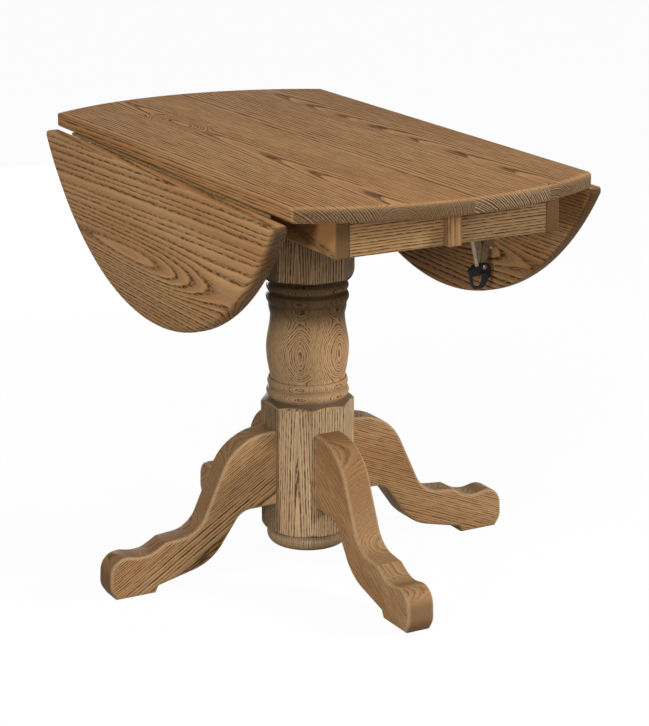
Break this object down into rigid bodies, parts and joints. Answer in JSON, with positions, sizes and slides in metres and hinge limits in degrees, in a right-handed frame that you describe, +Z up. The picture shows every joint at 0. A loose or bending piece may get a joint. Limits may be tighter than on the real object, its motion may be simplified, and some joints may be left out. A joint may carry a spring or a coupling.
{
  "type": "drop-leaf pedestal table",
  "caption": "Round drop-leaf dining table: curved-end centre board, hinged half-moon leaves on folding supports, apron, turned octagonal pedestal and sawn S-shaped legs.",
  "frame": {"origin": "on the floor, under the middle of the table and the pedestal's axis", "axes": "+Z up, +Y along the hinge lines, +X across them towards the right leaf; the leaves hang down at rest"},
  "size_m": [0.7974, 1.0668, 0.766],
  "materials": {
    "stained_oak": "medium brown stain with open grain, satin clear coat",
    "plated_steel": "zinc plated",
    "black_catch": "black enamel"
  },
  "bodies": {
    "table_frame": {"centre_top": "stained_oak", "front_rail": "stained_oak", "back_rail": "stained_oak", "left_rail": "stained_oak", "right_rail": "stained_oak", "front_centre_block": "stained_oak", "back_centre_block": "stained_oak", "mounting_plate": "stained_oak", "pedestal_post": "stained_oak", "front_leg": "stained_oak", "back_leg": "stained_oak", "left_leg": "stained_oak", "right_leg": "stained_oak", "front_leg_lower_bolt": "plated_steel", "front_leg_upper_bolt": "plated_steel", "back_leg_lower_bolt": "plated_steel", "back_leg_upper_bolt": "plated_steel", "left_leg_lower_bolt": "plated_steel", "left_leg_upper_bolt": "plated_steel", "right_leg_lower_bolt": "plated_steel", "right_leg_upper_bolt": "plated_steel", "left_hinge_top_plate": "plated_steel", "left_hinge_pin": "plated_steel", "right_hinge_top_plate": "plated_steel", "right_hinge_pin": "plated_steel", "right_front_table_bracket": "plated_steel", "right_back_table_bracket": "plated_steel", "left_front_table_bracket": "plated_steel", "left_back_table_bracket": "plated_steel"},
    "right_leaf_body": {"right_leaf": "stained_oak", "right_hinge_leaf_plate": "plated_steel", "right_front_leaf_bracket": "plated_steel", "right_back_leaf_bracket": "plated_steel"},
    "left_leaf_body": {"left_leaf": "stained_oak", "left_hinge_leaf_plate": "plated_steel", "left_front_leaf_bracket": "plated_steel", "left_back_leaf_bracket": "plated_steel"},
    "right_front_upper_arm_body": {"right_front_upper_arm": "plated_steel"},
    "right_front_lower_arm_body": {"right_front_lower_arm": "plated_steel", "right_front_elbow_catch": "black_catch", "right_front_elbow_rivet": "plated_steel"},
    "right_front_ring_body": {"right_front_release_ring": "black_catch"},
    "right_back_upper_arm_body": {"right_back_upper_arm": "plated_steel"},
    "right_back_lower_arm_body": {"right_back_lower_arm": "plated_steel", "right_back_elbow_catch": "black_catch", "right_back_elbow_rivet": "plated_steel"},
    "right_back_ring_body": {"right_back_release_ring": "black_catch"},
    "left_front_upper_arm_body": {"left_front_upper_arm": "plated_steel"},
    "left_front_lower_arm_body": {"left_front_lower_arm": "plated_steel", "left_front_elbow_catch": "black_catch", "left_front_elbow_rivet": "plated_steel"},
    "left_front_ring_body": {"left_front_release_ring": "black_catch"},
    "left_back_upper_arm_body": {"left_back_upper_arm": "plated_steel"},
    "left_back_lower_arm_body": {"left_back_lower_arm": "plated_steel", "left_back_elbow_catch": "black_catch", "left_back_elbow_rivet": "plated_steel"},
    "left_back_ring_body": {"left_back_release_ring": "black_catch"}
  },
  "joints": [
    {"name": "right_leaf_hinge", "type": "hinge", "parent": "table_frame", "child": "right_leaf_body", "pos_m": [0.273, 0, 0.7376], "axis": [0, -1, 0], "range_deg": [0, 90]},
    {"name": "left_leaf_hinge", "type": "hinge", "parent": "table_frame", "child": "left_leaf_body", "pos_m": [-0.273, 0, 0.7376], "axis": [0, 1, 0], "range_deg": [0, 90]},
    {"name": "right_front_upper_arm_pivot", "type": "hinge", "parent": "table_frame", "child": "right_front_upper_arm_body", "pos_m": [0.221, -0.159, 0.688], "axis": [0, -1, 0], "range_deg": [0, 82.6]},
    {"name": "right_front_lower_arm_pivot", "type": "hinge", "parent": "right_leaf_body", "child": "right_front_lower_arm_body", "pos_m": [0.263, -0.159, 0.6006], "axis": [0, -1, 0], "range_deg": [-146, 0]},
    {"name": "right_front_ring_pivot", "type": "hinge", "parent": "right_front_lower_arm_body", "child": "right_front_ring_body", "pos_m": [0.2295, -0.159, 0.543], "axis": [0, 1, 0], "range_deg": [0, 18], "stiffness_Nm_per_rad": 0.02, "springref_deg": -17.19},
    {"name": "right_back_upper_arm_pivot", "type": "hinge", "parent": "table_frame", "child": "right_back_upper_arm_body", "pos_m": [0.221, 0.159, 0.688], "axis": [0, -1, 0], "range_deg": [0, 82.6]},
    {"name": "right_back_lower_arm_pivot", "type": "hinge", "parent": "right_leaf_body", "child": "right_back_lower_arm_body", "pos_m": [0.263, 0.159, 0.6006], "axis": [0, -1, 0], "range_deg": [-146, 0]},
    {"name": "right_back_ring_pivot", "type": "hinge", "parent": "right_back_lower_arm_body", "child": "right_back_ring_body", "pos_m": [0.2295, 0.159, 0.543], "axis": [0, 1, 0], "range_deg": [0, 18], "stiffness_Nm_per_rad": 0.02, "springref_deg": -17.19},
    {"name": "left_front_upper_arm_pivot", "type": "hinge", "parent": "table_frame", "child": "left_front_upper_arm_body", "pos_m": [-0.221, -0.159, 0.688], "axis": [0, 1, 0], "range_deg": [0, 82.6]},
    {"name": "left_front_lower_arm_pivot", "type": "hinge", "parent": "left_leaf_body", "child": "left_front_lower_arm_body", "pos_m": [-0.263, -0.159, 0.6006], "axis": [0, 1, 0], "range_deg": [-146, 0]},
    {"name": "left_front_ring_pivot", "type": "hinge", "parent": "left_front_lower_arm_body", "child": "left_front_ring_body", "pos_m": [-0.2295, -0.159, 0.543], "axis": [0, -1, 0], "range_deg": [0, 18], "stiffness_Nm_per_rad": 0.02, "springref_deg": -17.19},
    {"name": "left_back_upper_arm_pivot", "type": "hinge", "parent": "table_frame", "child": "left_back_upper_arm_body", "pos_m": [-0.221, 0.159, 0.688], "axis": [0, 1, 0], "range_deg": [0, 82.6]},
    {"name": "left_back_lower_arm_pivot", "type": "hinge", "parent": "left_leaf_body", "child": "left_back_lower_arm_body", "pos_m": [-0.263, 0.159, 0.6006], "axis": [0, 1, 0], "range_deg": [-146, 0]},
    {"name": "left_back_ring_pivot", "type": "hinge", "parent": "left_back_lower_arm_body", "child": "left_back_ring_body", "pos_m": [-0.2295, 0.159, 0.543], "axis": [0, -1, 0], "range_deg": [0, 18], "stiffness_Nm_per_rad": 0.02, "springref_deg": -17.19}
  ],
  "couplings": [
    {"joint": "right_front_upper_arm_pivot", "follows": "right_leaf_hinge", "ratio": 0.91577},
    {"joint": "right_front_lower_arm_pivot", "follows": "right_leaf_hinge", "ratio": -1.6196},
    {"joint": "right_back_upper_arm_pivot", "follows": "right_leaf_hinge", "ratio": 0.91577},
    {"joint": "right_back_lower_arm_pivot", "follows": "right_leaf_hinge", "ratio": -1.6196},
    {"joint": "left_front_upper_arm_pivot", "follows": "left_leaf_hinge", "ratio": 0.91577},
    {"joint": "left_front_lower_arm_pivot", "follows": "left_leaf_hinge", "ratio": -1.6196},
    {"joint": "left_back_upper_arm_pivot", "follows": "left_leaf_hinge", "ratio": 0.91577},
    {"joint": "left_back_lower_arm_pivot", "follows": "left_leaf_hinge", "ratio": -1.6196}
  ]
}
